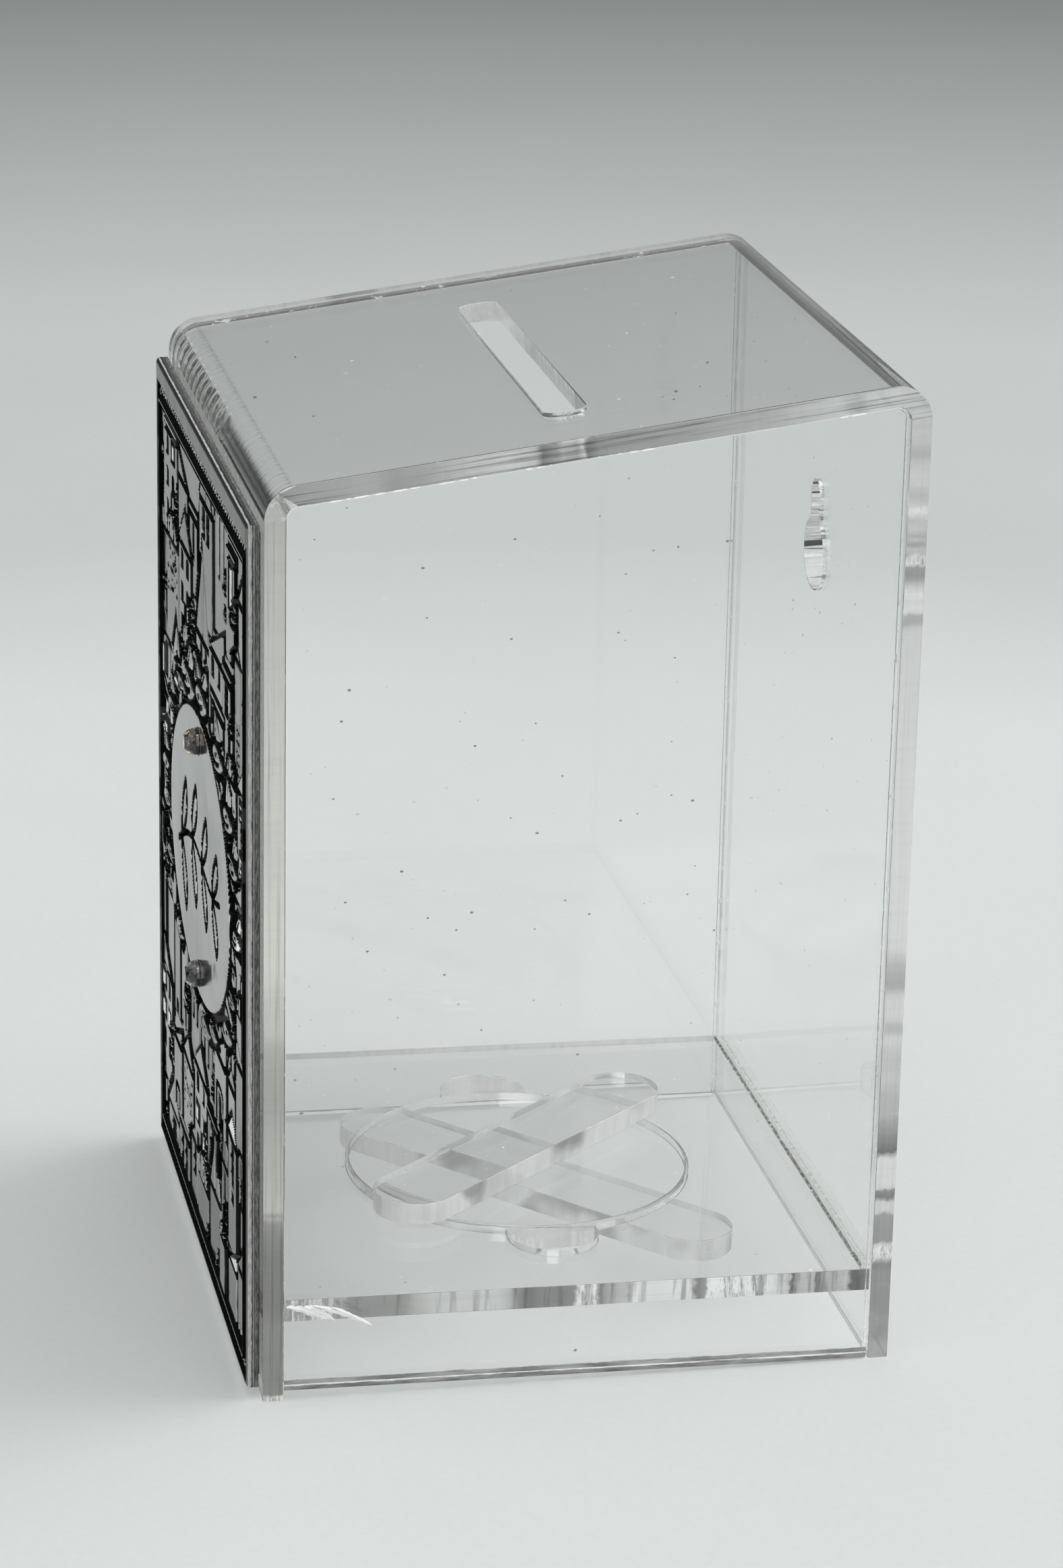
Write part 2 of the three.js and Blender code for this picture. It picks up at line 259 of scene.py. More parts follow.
def acrylic(name, shadow, **values):
    """A clear look. Shadow rays pass it with the tint shadow, so that what stands behind it is lit."""
    look = Look(name).set(IOR=ACRYLIC_IOR, **values)
    through = look.node("BsdfTransparent", {"Color": shadow}).outputs["BSDF"]
    is_shadow = look.node("LightPath", {}).outputs["Is Shadow Ray"]
    mixed = look.node("MixShader", {0: is_shadow, 1: look.shader.outputs["BSDF"], 2: through})
    look.join(mixed.outputs["Shader"], look.tree.nodes["Material Output"].inputs["Surface"])
    return look


def dust(look):
    """Specks of dust of all sizes: where they are, and their shade, dark or white."""
    cells = look.node("TexVoronoi", {"Vector": look.place((1, 0.7, 1)), "Scale": DUST_CELLS})
    dice = look.node("SeparateColor", {"Color": cells.outputs["Color"]}).outputs
    size = look.range(dice[0], 1 - DUST_SHARE, 1.0, 0.2, 2.4)
    speck = look.range(look.math("DIVIDE", cells.outputs["Distance"], size), 0.028, 0.036, 1.0, 0.0)
    return speck, look.ramp(dice[1], (0.45, (0.25, 0.25, 0.24)), (0.55, 1.0))


def clear_acrylic(name, shadow):
    look = acrylic(name, grey(shadow))
    speck, shade = dust(look)
    look.set(Base_Color=look.blend(speck, CLEAN, shade), Roughness=look.fade(speck, 0.0, 0.6))
    return look.set(Transmission_Weight=look.fade(speck, 1.0, 0.2)).material


def sawn_edge(name, slope, bands, tint=(1, 1, 1), grain=1.0, cross=0.1, height=0.0):
    """A sawn edge that runs up at an angle, with its middle at a height: fine lines along it, and bands
    across it of its own frosting and of painted highlight and painted shade. grain and cross are how dark the
    lines along and across it are."""
    look = acrylic(name, EDGE_SHADOW)
    lines = look.noise(1500, 4.0, 0.7, (0, 0.012, 1), slope)
    marks = look.noise(700, 3.0, 0.6, (0, 1, 0.08), slope)
    blotches = look.noise(500, 3.0, 0.6, (0, 0.5, 1), slope)
    along = look.roughen(look.axes(slope)["Y"], blotches, 0.2, 0.8, 0.7 * MM)
    first, last = bands[0][0], bands[-1][0]
    start = height * math.sin(slope)
    share = look.range(along, start + first * MM, start + last * MM, 0.0, 1.0)
    stops = [((place - first) / (last - first), grey(light, clear)) for place, light, clear in bands]
    # The bands are painted highlight and painted shade laid over the edge's own frosting.
    band_shade_and_highlight = look.ramp(share, *stops)
    clearness = band_shade_and_highlight.node.outputs["Alpha"]
    line_tone = look.ramp(lines, (0.36, 1 - 0.2 * grain), (0.48, 0.97), (0.66, 1.0))
    mark_tone = look.ramp(marks, (0.36, 1 - cross), (0.5, 1.0))
    frost = look.range(clearness, 0.0, FROSTED, 1.0, 0.0)
    # Painted glints: white specks in the colour of a frosted band stand in for sparkles of light.
    glints = look.ramp(look.noise(1500, 4.0, 0.8, (0.3, 1, 0.2)), (0.4, 0.3), (0.5, 1.0))
    sparkle = look.blend(look.times(frost, (0.8, 0.8, 0.8)), grey(1.0), glints)
    tone = look.times(line_tone, mark_tone, tint)
    look.set(Base_Color=look.times(band_shade_and_highlight, tone, sparkle), Transmission_Weight=clearness)
    look.set(Roughness=look.range(lines, 0.3, 0.7, 0.22, 0.06))
    return look.bump(lines, 0.04 * MM, 0.4).material


def cut_edge(name, clear, rough, ribbing=0.2 * MM, dark=0.8, light=1.0):
    """The polished wall of a hole or a bar: faint ribs from the cutter, and wide dark and light patches of
    painted shade.
    """
    look = acrylic(name, grey(0.6), Transmission_Weight=clear)
    ribs = look.noise(750, 2.0, 0.5, (1, 1, 0.04))
    # Painted shade: wide dark and light patches across the clear wall.
    wide = look.ramp(look.noise(65, 2.0, 0.5), (0.38, dark), (0.46, light))
    fine = look.ramp(ribs, (0.35, 0.9), (0.6, 1.0))
    look.set(Base_Color=look.times(wide, fine), Roughness=look.range(ribs, 0.35, 0.7, rough * 2, rough))
    return look.bump(ribs, ribbing, 0.35).material


def hole_wall():
    """The rough wall of the keyhole: clear, with black ticks of painted shade and white chips of painted
    highlight across it.
    """
    look = acrylic("hole_wall", grey(0.6), Roughness=0.08)
    ticks = look.noise(800, 3.0, 0.6, (0.15, 0.05, 1))
    # Painted light: the black ticks are painted shade and the white chips painted highlights.
    clear = look.ramp(ticks, (0.4, 0.1), (0.47, 0.85), (0.55, 0.85), (0.6, 0.0))
    shade = look.ramp(ticks, (0.4, 0.02), (0.45, 0.9), (0.55, 1.0))
    return look.set(Base_Color=shade, Transmission_Weight=clear).bump(ticks, 1.5 * MM, 0.5).material


def cemented_edge(name, amount, color):
    """An edge set in cement: clear, with frosted bubbles where the cement didn't run."""
    look = acrylic(name, (0.93, 0.94, 0.935, 1))
    bubbles = look.noise(650, 4.0, 0.7, (0.5, 0.5, 0.5))
    frost = look.range(bubbles, 0.66 - amount, 0.72 - amount, 0.0, 1.0)
    look.set(Base_Color=look.blend(frost, (0.97, 0.975, 0.972, 1), (*color, 1)))
    look.set(Transmission_Weight=look.fade(frost, 0.97, 0.25), Roughness=look.fade(frost, 0.03, 0.4))
    return look.bump(bubbles, 0.2 * MM, 0.4).material


def panel_face():
    """A side panel's face: clear, with a grey band of painted shade along its lower edge."""
    low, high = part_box("side_panel_right")
    look = acrylic("panel_face", (0.965, 0.97, 0.968, 1))
    axes = look.axes()
    front = min(z for y, z in panel_corners() if y < low.y + MM)
    height = look.math("SUBTRACT", axes["Z"], look.range(axes["Y"], low.y, high.y, front, low.z))
    ragged = look.roughen(height, look.noise(700, 4.0, 0.7, (1, 0.2, 1)), 0.3, 0.7, 0.15 * MM)
    # Painted shade: a streaked grey band along the panel's lower edge.
    painted_shade_band = look.range(ragged, PAINTED_SHADE_BAND, PAINTED_SHADE_BAND + 0.15 * MM, 1.0, 0.0)
    speck, shade = dust(look)
    either = look.math("MAXIMUM", painted_shade_band, speck)
    streaks = look.ramp(look.noise(900, 3.0, 0.6, (1, 0.15, 1)), (0.35, 0.12), (0.65, 0.4))
    look.set(Base_Color=look.blend(painted_shade_band, look.blend(speck, CLEAN, shade), streaks))
    look.set(Transmission_Weight=look.fade(either, 1.0, 0.2), Roughness=look.fade(either, 0.0, 0.5))
    return look.material


def panel_corners():
    """How far back and how high each corner of a side panel is."""
    return [(vertex.co.y, vertex.co.z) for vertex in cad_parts["side_panel_right"].data.vertices]


def lower_edge():
    """The underside of a side panel: a bright half inside, and a dark half outside that is painted shade."""
    low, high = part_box("side_panel_right")
    look = acrylic("lower_edge", EDGE_SHADOW, Roughness=0.4)
    out = look.math("ABSOLUTE", look.axes()["X"])
    wavy = look.roughen(out, look.noise(300, 3.0, 0.6), 0.3, 0.7, 0.3 * MM)
    share = look.range(wavy, low.x, high.x, 0.0, 1.0)
    # The outer half's dark grey is painted shade.
    return look.set(Base_Color=look.ramp(share, (0.75, 1.0), (0.82, 0.2))).material


def bent_acrylic(name, ripple, dark):
    """A heat-bent stretch, rippled on its far half, with painted shade: greyer towards the wall and dark on
    its near half.
    """
    look = acrylic(name, (0.95, 0.955, 0.95, 1), Transmission_Weight=1.0)
    axes = look.axes()
    across = axes["X"]
    folds = look.node("TexWave", {"Vector": look.place((1, 0.4, 0.5)), "Scale": 68.0, "Distortion": 3.0,
                                  "Detail": 2.0, "Detail Scale": 2.0}).outputs["Fac"]
    fine = look.noise(900, 3.0, 0.6, (1.0, 0.3, 0.3))
    outer = look.range(axes["Y"], shell_low.y + 2.2 * MM, shell_low.y + 2.8 * MM, 1.0, 0.0)
    level = look.range(axes["Z"], shell_front_top - 2.6 * MM, shell_front_top - 1.3 * MM, 1.0, 0.0)
    low = look.math("MULTIPLY", level, outer)
    wave = look.math("MULTIPLY", folds, look.range(across, -20 * MM, 12 * MM, 1.0, 0.0))
    # Painted shade: darker towards the near side and low on the outer face, and in the creases of the folds.
    near = look.math("MULTIPLY", look.range(across, -10 * MM, 50 * MM, 0.25, 1.0), low)
    crease_shade = look.math("MULTIPLY", look.ramp(wave, (0.35, 0.0), (0.6, 0.8)), low)
    shade = look.math("ADD", near, crease_shade)
    tones = [(0.0, 0.98), (0.45, mix(0.9, dark, 0.6)), (1.0, dark)]
    look.set(Base_Color=look.ramp(shade, *tones), Roughness=look.range(fine, 0.4, 0.7, 0.0, 0.08))
    height = look.math("ADD", look.math("MULTIPLY", wave, low), look.fade(fine, 0.0, 0.03))
    return look.bump(height, ripple, 0.5).material


def backing_card():
    """The cut edge of the backing: beige and grey specks in short strokes."""
    look = Look("backing_card")
    strokes = look.noise(1400, 4.0, 0.7, (1, 3, 0.4))
    shades = [(0.36, (0.025, 0.025, 0.024)), (0.5, (0.11, 0.108, 0.1)), (0.64, (0.24, 0.235, 0.215))]
    look.set(Base_Color=look.ramp(strokes, *shades), Roughness=look.range(strokes, 0.3, 0.7, 0.7, 0.4))
    return look.bump(strokes, 0.1 * MM, 0.6).material


def grainy(name, grain, dark, light, bump, **values):
    """A material mottled by one noise, from dark to light, with fine bumps to match."""
    look = Look(name)
    noise = look.noise(*grain)
    look.set(Base_Color=look.ramp(noise, dark, light), **values)
    if bump:
        look.bump(noise, 0.1 * MM, bump)
    return look.material


# ---------------------------------------------------------------- stage


def floor():
    bpy.ops.mesh.primitive_plane_add(size=120, location=(0, 0, -0.2 * MM))
    sheet = bpy.context.object
    sheet.name = "floor"
    look = Look("pale_paper")
    place = look.node("TexCoord", {}).outputs["Object"]
    distance = look.node("VectorMath", {0: place}, operation="LENGTH").outputs["Value"]
    # Painted shade: the floor grows darker away from the middle.
    color = look.ramp(look.range(distance, 0.0, FLOOR_REACH, 0.0, 1.0), *FLOOR_TONES)
    cloud = look.ramp(look.noise(9, 3.0, 0.55), (0.3, 0.975), (0.7, 1.0))
    grain = look.ramp(look.noise(700, 2.0, 0.6), (0.3, 0.975), (0.7, 1.0))
    look.set(Base_Color=look.times(color, cloud, grain), Roughness=0.95)
    sheet.data.materials.append(look.material)


def add_object(name, data):
    made = bpy.data.objects.new(name, data)
    bpy.context.scene.collection.objects.link(made)
    return made


def lamp(name, place, target, size, power):
    data = bpy.data.lights.new(name, "AREA")
    data.size = size
    data.energy = power
    made = add_object(name, data)
    made.location = place
    made.rotation_euler = (Vector(target) - Vector(place)).to_track_quat("-Z", "Y").to_euler()


def studio():
    scene = bpy.context.scene
    scene.world = bpy.data.worlds.new("studio")
    scene.world.use_nodes = True
    sky = Nodes(scene.world.node_tree)
    height = sky.node("SeparateXYZ", {0: sky.node("TexCoord", {}).outputs["Generated"]}).outputs["Z"]
    tones = [(position, (tone * 0.985, tone, tone * 0.995)) for position, tone in SKY_TONES]
    background = sky.tree.nodes["Background"].inputs
    sky.join(sky.ramp(height, *tones), background["Color"])
    sky.join(0.9, background["Strength"])
    lamp("key", (-0.2, 1.5, 1.7), (0, 0, 0.05), 1.5, 15)
    lamp("fill", (0.6, -0.6, 2.2), (0, 0, 0.05), 1.6, 12)
    lamp("low", (1.9, -0.4, 0.8), (0, 0, 0.08), 1.0, 7)
    scene.view_settings.view_transform = "Standard"
    for limit in ("max_bounces", "transmission_bounces", "glossy_bounces", "transparent_max_bounces"):
        setattr(scene.cycles, limit, BOUNCES)


def camera():
    data = bpy.data.cameras.new("camera")
    data.lens = CAMERA_LENS
    data.sensor_width = SENSOR
    right = CAMERA_LOOK.cross(CAMERA_UP).normalized()
    up = right.cross(CAMERA_LOOK).normalized()
    turn = Matrix((right, up, -CAMERA_LOOK.normalized())).transposed()
    made = add_object("camera", data)
    made.matrix_world = Matrix.Translation(shell_centre + CAMERA_PLACE) @ turn.to_4x4()
    bpy.context.scene.camera = made


# ---------------------------------------------------------------- acrylic


def modify(piece, kind, **settings):
    made = piece.modifiers.new(kind.lower(), kind)
    for name, value in settings.items():
        setattr(made, name, value)


def ease_edges(piece):
    """Melts the flat facets together, rounds the sharp edges a little and shades flat faces flat."""
    for polygon in piece.data.polygons:
        polygon.use_smooth = True
    modify(piece, "WELD", merge_threshold=MM / 1000)
    half_degree, corner = math.radians(0.5), math.radians(35)
    modify(piece, "DECIMATE", decimate_type="DISSOLVE", angle_limit=half_degree, delimit={"MATERIAL"})
    modify(piece, "BEVEL", width=ACRYLIC_BEVEL, segments=2, limit_method="ANGLE", angle_limit=corner,
           use_clamp_overlap=False)
    modify(piece, "WEIGHTED_NORMAL", keep_sharp=True)


def dress(name, looks, choose):
    """Gives a CAD node its materials, in a dictionary; choose names the one that a face gets."""
    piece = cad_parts[name]
    piece.data.materials.clear()
    for material in looks.values():
        piece.data.materials.append(material)
    order = list(looks)
    for polygon in piece.data.polygons:
        polygon.material_index = order.index(choose(polygon))
    ease_edges(piece)


def at_an_end(polygon, low, high):
    """True for a face on the left or right end of a sheet, where the saw went."""
    return abs(polygon.normal.x) > 0.9 and min(polygon.center.x - low.x, high.x - polygon.center.x) < 0.1 * MM


def lean(name):
    """How steeply a sheet's upper face rises towards the back."""
    faces = [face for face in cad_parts[name].data.polygons if face.normal.z > 0.9]
    normal = max(faces, key=lambda face: face.area).normal
    return math.atan2(-normal.y, normal.z)


def dress_shell(clear):
    low, high = shell_low, shell_high
    slope = lean("shell")
    middle = (high.z + shell_front_top) / 2
    looks = {
        "face": clear,
        "front edge": sawn_edge("sawn_front_edge", UPRIGHT, FRONT_BANDS, (1.0, 1.0, 0.945), 1.7, 0.04),
        "back edge": sawn_edge("sawn_back_edge", UPRIGHT, BACK_BANDS, (1.0, 0.995, 0.997), 0.6, 0.05),
        "top edge": sawn_edge("sawn_top_edge", slope, TOP_BANDS, (0.98, 1.0, 0.99), 3.6, 0.04, middle),
        "front bend": bent_acrylic("front_bend", 1.2 * MM, 0.12),
        "back bend": bent_acrylic("back_bend", 0.4 * MM, 0.9),
        "keyhole": hole_wall(),
        "slot": cut_edge("slot_wall", 0.9, 0.04, 0.6 * MM, 0.4, 0.75),
        "far edge": sawn_edge("sawn_far_edge", slope, FAR_BANDS, height=middle),
        "corner": cemented_edge("crazed_corner", 0.1, (0.8, 0.81, 0.8)),
    }

    def choose(face):
        end = "front" if face.center.y < low.y + WALL else "back" if face.center.y > high.y - WALL else ""
        high_up = face.center.z > (shell_front_top if end == "front" else high.z) - WALL
        if at_an_end(face, low, high):
            if end and not high_up:
                return end + " edge"
            if face.normal.x < 0:
                return "far edge"
            return "corner" if end == "front" else "top edge"
        if abs(face.normal.x) < 0.5 and high_up and end:
            return end + " bend"
        if end == "back" and abs(face.normal.y) < 0.5 and face.center.z > KEYHOLE_FROM:
            return "keyhole"
        return "slot" if not end and abs(face.normal.z) < 0.5 else "face"

    dress("shell", looks, choose)


def dress_panels(clear):
    cemented = cemented_edge("cemented_edge", 0.08, (0.95, 0.96, 0.955))
    lower = lower_edge()

    def choose(face):
        return "face" if abs(face.normal.x) > 0.5 else "lower edge" if face.normal.z < -0.9 else "joint"

    for name, face_look in {"side_panel_right": panel_face(), "side_panel_left": clear}.items():
        dress(name, {"face": face_look, "joint": cemented, "lower edge": lower}, choose)


def dress_floor(faces, clear):
    low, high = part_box("base_plate")
    slope = lean("base_plate")
    rim = cut_edge("cut_rim", 0.92, 0.03)
    hazy = cut_edge("cut_bar", 0.55, 0.05, 0.6 * MM, 0.4)
    looks = {
        "face": faces,
        "near edge": sawn_edge("sawn_plate_edge", slope, PLATE_BANDS, (0.99, 1.0, 0.99), 0.6, 0.5),
        "joint": cemented_edge("dull_joint", 0.24, (0.3, 0.285, 0.25)),
        "wall": rim,
        "far edge": sawn_edge("sawn_plate_far_edge", slope, EVEN_BANDS),
    }

    def face_or_wall(face):
        return "face" if abs(face.normal.z) >= 0.5 else "wall"

    def choose(face):
        if abs(face.normal.z) > 0.5:
            return "face"
        if at_an_end(face, low, high):
            return "near edge" if face.normal.x > 0 else "far edge"
        to_wall = min(face.center.y - low.y, high.y - face.center.y)
        return "joint" if abs(face.normal.y) > 0.9 and to_wall < 0.2 * MM else "wall"

    dress("base_plate", looks, choose)
    dress("closure_disc", {"face": clear, "wall": rim}, face_or_wall)
    for name in ("closure_inner_bar", "closure_handle_bar"):
        dress(name, {"face": clear, "wall": hazy}, face_or_wall)


def dress_acrylic():
    clear = clear_acrylic("clear_acrylic", 0.967)
    dress_shell(clear)
    dress_panels(clear)
    dress_floor(clear_acrylic("floor_acrylic", 0.88), clear)


def new_piece(name, mesh, materials):
    """Puts a mesh into the scene as a new piece, and turns a bmesh's faces outwards first."""
    data = mesh
    if isinstance(mesh, bmesh.types.BMesh):
        bmesh.ops.recalc_face_normals(mesh, faces=mesh.faces)
        data = bpy.data.meshes.new(name)
        mesh.to_mesh(data)
        mesh.free()
    for material in materials:
        data.materials.append(material)
    return add_object(name, data)


def add_cement(name, mesh, material):
    piece = new_piece(name, mesh, [material])
    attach(piece, "box")


def crumb(mesh, draw, place, middle, long, tall, steps=7):
    """A low ragged sliver with a spine above its middle. place turns (along, up, out) to a point."""
    upper, lower, spine = [], [], []
    for step in range(steps):
        share = (step + 0.5) / steps
        along = middle + long * (share - 0.5)
        half = tall / 2 * math.sin(math.pi * share) ** 0.7
        above = half * draw.uniform(0.6, 1.2)
        below = half * draw.uniform(0.6, 1.2)
        upper.append(mesh.verts.new(place(along, above, 0)))
        lower.append(mesh.verts.new(place(along, -below, 0)))
        spine.append(mesh.verts.new(place(along, (above - below) / 2, FLAKE)))
    for side in (upper, lower):
        for corners in zip(side, side[1:], spine[1:], spine):
            mesh.faces.new(corners)
    mesh.faces.new((upper[0], spine[0], lower[0]))
    mesh.faces.new((upper[-1], lower[-1], spine[-1]))
    mesh.faces.new(upper + lower[::-1])


def row_of_crumbs(draw, start, end, long, gap):
    """Where each crumb along a line starts, and how long it is. long and gap are ranges in mm."""
    while start < end:
        length = draw.uniform(*long) * MM
        yield start, length
        start += length + draw.uniform(*gap) * MM


def flakes(material):
    """Crumbs of cement along the joint between the near panel and the top, thickest towards the front."""
    draw = random.Random(SEED + 1)
    low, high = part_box("side_panel_right")
    rise = math.tan(lean("shell"))
    top_at = max(z - rise * y for y, z in panel_corners()) - 0.1 * MM

    def place(along, up, out):
        return (high.x + out, along, top_at + rise * along + up)

    mesh = bmesh.new()
    for y, long in row_of_crumbs(draw, low.y + 5 * MM, high.y - 6 * MM, (0.5, 2.6), (0.1, 1.2)):
        share = (y - low.y) / (high.y - low.y)
        if draw.random() < 0.8 - 0.6 * share:
            crumb(mesh, draw, place, y + long / 2, long, draw.uniform(0.25, 0.6) * MM)
    add_cement("cement_flakes", mesh, material)


def smear(material):
    """A feathery smear of cement on the near panel, where the floor meets the front wall."""
    draw = random.Random(SEED + 2)
    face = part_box("side_panel_right")[1].x
    plate_low, plate_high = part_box("base_plate")
    mesh = bmesh.new()
    for number in range(6):
        start = plate_low.y + (0.2 + 1.4 * number) * MM
        level = plate_high.z + (draw.uniform(-0.6, 0.5) - 0.12 * number) * MM
        long = draw.uniform(4.5, 8.5) * MM
        drop = draw.uniform(1.8, 3.4) * MM

        def place(along, up, out):
            return (face + out, along, level - drop * ((along - start) / long) ** 1.4 + up)

        crumb(mesh, draw, place, start + long / 2, long, draw.uniform(0.5, 1.4) * MM, 13)
    add_cement("cement_smear", mesh, material)


def corner_grime(material):
    """A ragged dark line where the floor meets the back wall."""
    draw = random.Random(SEED + 3)
    low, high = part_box("base_plate")
    tilt = math.tan(lean("base_plate"))
    corners = [vertex.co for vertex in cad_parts["base_plate"].data.vertices]
    level = max(corner.z for corner in corners if corner.y > high.y - MM) + 0.02 * MM

    def place(along, up, out):
        inwards = up - 0.5 * MM
        return (along, high.y + inwards, level + tilt * inwards + out)

    mesh = bmesh.new()
    for x, long in row_of_crumbs(draw, low.x + MM, high.x - 2 * MM, (0.4, 2.4), (0.0, 1.0)):
        crumb(mesh, draw, place, x + long / 2, long, draw.uniform(0.25, 0.9) * MM)
    add_cement("corner_grime", mesh, material)


def cement_marks():
    white, light = (0.35, 0.88), (0.6, 1.0)
    cement = grainy("cement", (1200, 3.0, 0.7), white, light, 0.5, IOR=ACRYLIC_IOR, Roughness=0.25)
    flakes(cement)
    smear(cement)
    brown, beige = (0.35, (0.08, 0.075, 0.065)), (0.65, (0.3, 0.285, 0.25))
    corner_grime(grainy("grime", (1500, 3.0, 0.7), brown, beige, 0.0, Roughness=0.8))


def dress_backing():
    black, dark = (0.35, (0.03, 0.03, 0.029)), (0.65, (0.075, 0.074, 0.07))
    tape = grainy("foam_tape", (500, 4.0, 0.7), black, dark, 0.5, Roughness=0.8)
    for name, material in (("plaque_backing", backing_card()), ("plaque_tape", tape)):
        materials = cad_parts[name].data.materials
        materials.clear()
        materials.append(material)


# ---------------------------------------------------------------- relief


def mix(a, b, share):
    return a * (1 - share) + b * share


def inside(distance, soft=SOFT):
    """1 where a signed distance is negative and 0 where it is positive, with a smooth step between."""
    share = np.clip(0.5 - distance / (2 * soft), 0, 1)
    return share * share * (3 - 2 * share)


def stripes(value, pitch, shift=0):
    """How far a value is from the middle of a stripe; stripes repeat at a pitch."""
    return np.abs((value / pitch + shift) % 1 - 0.5) * pitch


def round_top(share):
    """The height of a half circle at a share of its radius."""
    return np.sqrt(np.clip(1 - share**2, 0, 1))


def box_distance(x, z, area):
    left, bottom, right, top = area
    beside = np.abs(x - (left + right) / 2) - (right - left) / 2
    return np.maximum(beside, np.abs(z - (bottom + top) / 2) - (top - bottom) / 2)


def oval_distance(x, z, centre_x, centre_z, a, b):
    u, v = (x - centre_x) / a, (z - centre_z) / b
    near = np.hypot(u, v)
    return near * (near - 1) / (np.hypot(u / a, v / b) + 1e-9)


def arch_distance(x, z, centre, bottom, half, height):
    """An upright slot with a round top, height tall in all."""
    body = box_distance(x, z, (centre - half, bottom, centre + half, bottom + height - half))
    return np.minimum(body, np.hypot(x - centre, z - (bottom + height - half)) - half)


def convex_distance(x, z, corners):
    """A convex outline whose corners go anticlockwise."""
    distance = np.full(x.shape, -1e9)
    for (x0, z0), (x1, z1) in zip(corners, corners[1:] + corners[:1]):
        length = math.hypot(x1 - x0, z1 - z0)
        distance = np.maximum(distance, ((x - x0) * (z1 - z0) - (z - z0) * (x1 - x0)) / length)
    return distance


def rectangle(left, bottom, right, top):
    return [(left, bottom), (right, bottom), (right, top), (left, top)]


def line_distance(x, z, points):
    distance = np.full(x.shape, 1e9)
    for (x0, z0), (x1, z1) in zip(points, points[1:]):
        dx, dz = x1 - x0, z1 - z0
        along = np.clip(((x - x0) * dx + (z - z0) * dz) / (dx * dx + dz * dz + 1e-12), 0, 1)
        distance = np.minimum(distance, np.hypot(x - x0 - along * dx, z - z0 - along * dz))
    return distance


class Relief:
    """A height map over a face, in millimetres, that shapes are laid on and cut into from back to front."""

    def __init__(self, low, high, height):
        across = round((high[0] - low[0]) * WIDE / CELL_ACROSS) + 1
        self.x = np.linspace(low[0], high[0], across)
        self.z = np.linspace(low[1], high[1], round((high[1] - low[1]) / CELL_UP) + 1)
        self.height = np.full((len(self.z), len(self.x)), float(height))
        self.tone = np.zeros(self.height.shape)
        self.bare = np.zeros(self.height.shape, bool)

    def window(self, *points, margin=1.2):
        """The part of the map that holds some points, and where everything in it is."""
        xs, zs = zip(*points)
        rows = slice(*np.searchsorted(self.z, (min(zs) - margin, max(zs) + margin)))
        columns = slice(*np.searchsorted(self.x, (min(xs) - margin, max(xs) + margin)))
        x, z = np.meshgrid(self.x[columns], self.z[rows])
        return (rows, columns), x, z

    def panel(self, area):
        """The window of an area, and how far outside the area everything in it is."""
        part, x, z = self.window(area[:2], area[2:])
        return part, x, z, box_distance(x, z, area)

    def lay(self, part, distance, top, tone=0.0):
        """A flat-topped shape that hides what lies behind it, with a dark groove just inside its outline."""
        self.fill(part, distance, mix(RECESS, top, inside(distance + GROOVE)), tone)

    def fill(self, part, distance, height, tone=None):
        """Gives the inside of a shape a new height, and a new tone if there is one."""
        self.height[part] = mix(self.height[part], height, inside(distance))
        if tone is not None:
            self.tone[part] = mix(self.tone[part], tone, inside(distance))

    def cut(self, part, distance, floor=RECESS):
        self.fill(part, distance, np.minimum(self.height[part], floor))

    def line(self, points, width=0.45, floor=RECESS):
        part, x, z = self.window(*points)
        self.cut(part, line_distance(x, z, points) - width / 2, floor)

    def cord(self, points, width, top, halo=0.5):
        """A raised round ridge along points, in a dark channel."""
        part, x, z = self.window(*points, margin=width + halo + 0.6)
        distance = line_distance(x, z, points)
        self.cut(part, distance - width / 2 - halo)
        rise = round_top(distance / (width / 2))
        self.height[part] = np.maximum(self.height[part], RECESS + (top - RECESS) * rise)

    def bead(self, centre, radius, top, halo=0.3):
        """A round-topped drop in a dark ring."""
        part, x, z = self.window(centre, margin=radius + halo + 0.4)
        distance = np.hypot(x - centre[0], z - centre[1])
        self.cut(part, distance - radius - halo)
        rise = round_top(distance / radius) ** 0.7
        self.height[part] = np.maximum(self.height[part], RECESS + (top - RECESS) * rise)


